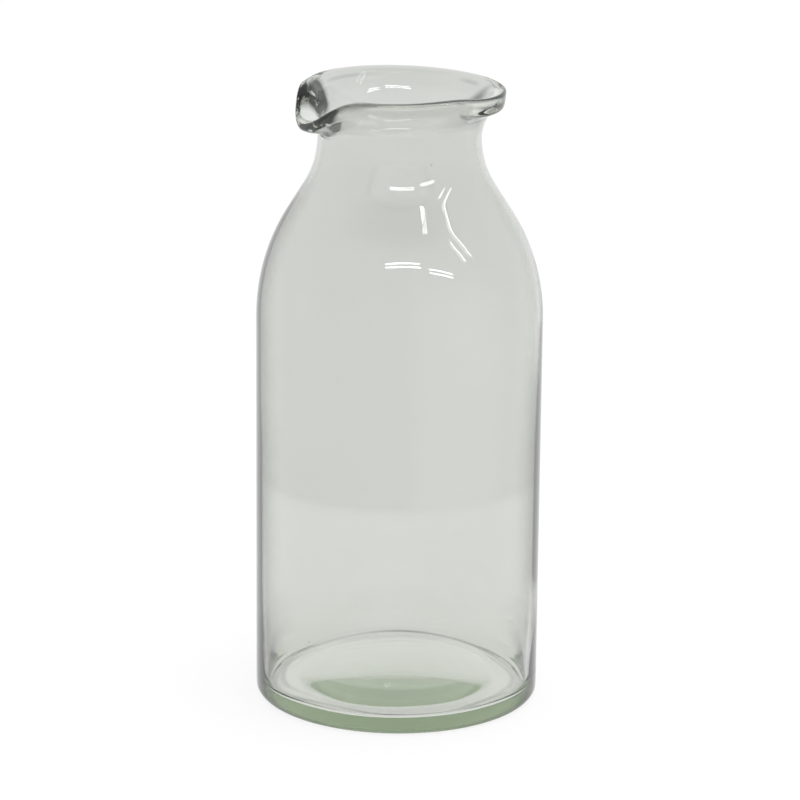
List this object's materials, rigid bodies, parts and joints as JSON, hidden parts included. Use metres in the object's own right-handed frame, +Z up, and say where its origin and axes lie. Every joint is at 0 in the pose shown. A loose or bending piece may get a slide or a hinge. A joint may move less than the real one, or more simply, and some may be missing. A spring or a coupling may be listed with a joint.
{
  "type": "glass milk bottle",
  "caption": "Clear glass milk bottle with a straight barrel, rounded shoulder, waisted neck, thick lip and a pulled pouring spout, for serving milk or water.",
  "frame": {"origin": "centre of the base, on the surface that the bottle stands on", "axes": "+Z up along the bottle's axis, -X towards the pouring spout"},
  "size_m": [0.11, 0.11, 0.2405],
  "materials": {
    "clear_glass": "clear blown glass with a faint grey-green cast, fire polished"
  },
  "bodies": {
    "root": {"base_disc": "clear_glass", "heel_ring": "clear_glass", "barrel_wall": "clear_glass", "shoulder_wall": "clear_glass", "neck_wall": "clear_glass", "lip_ring": "clear_glass", "pour_spout": "clear_glass"}
  },
  "joints": []
}
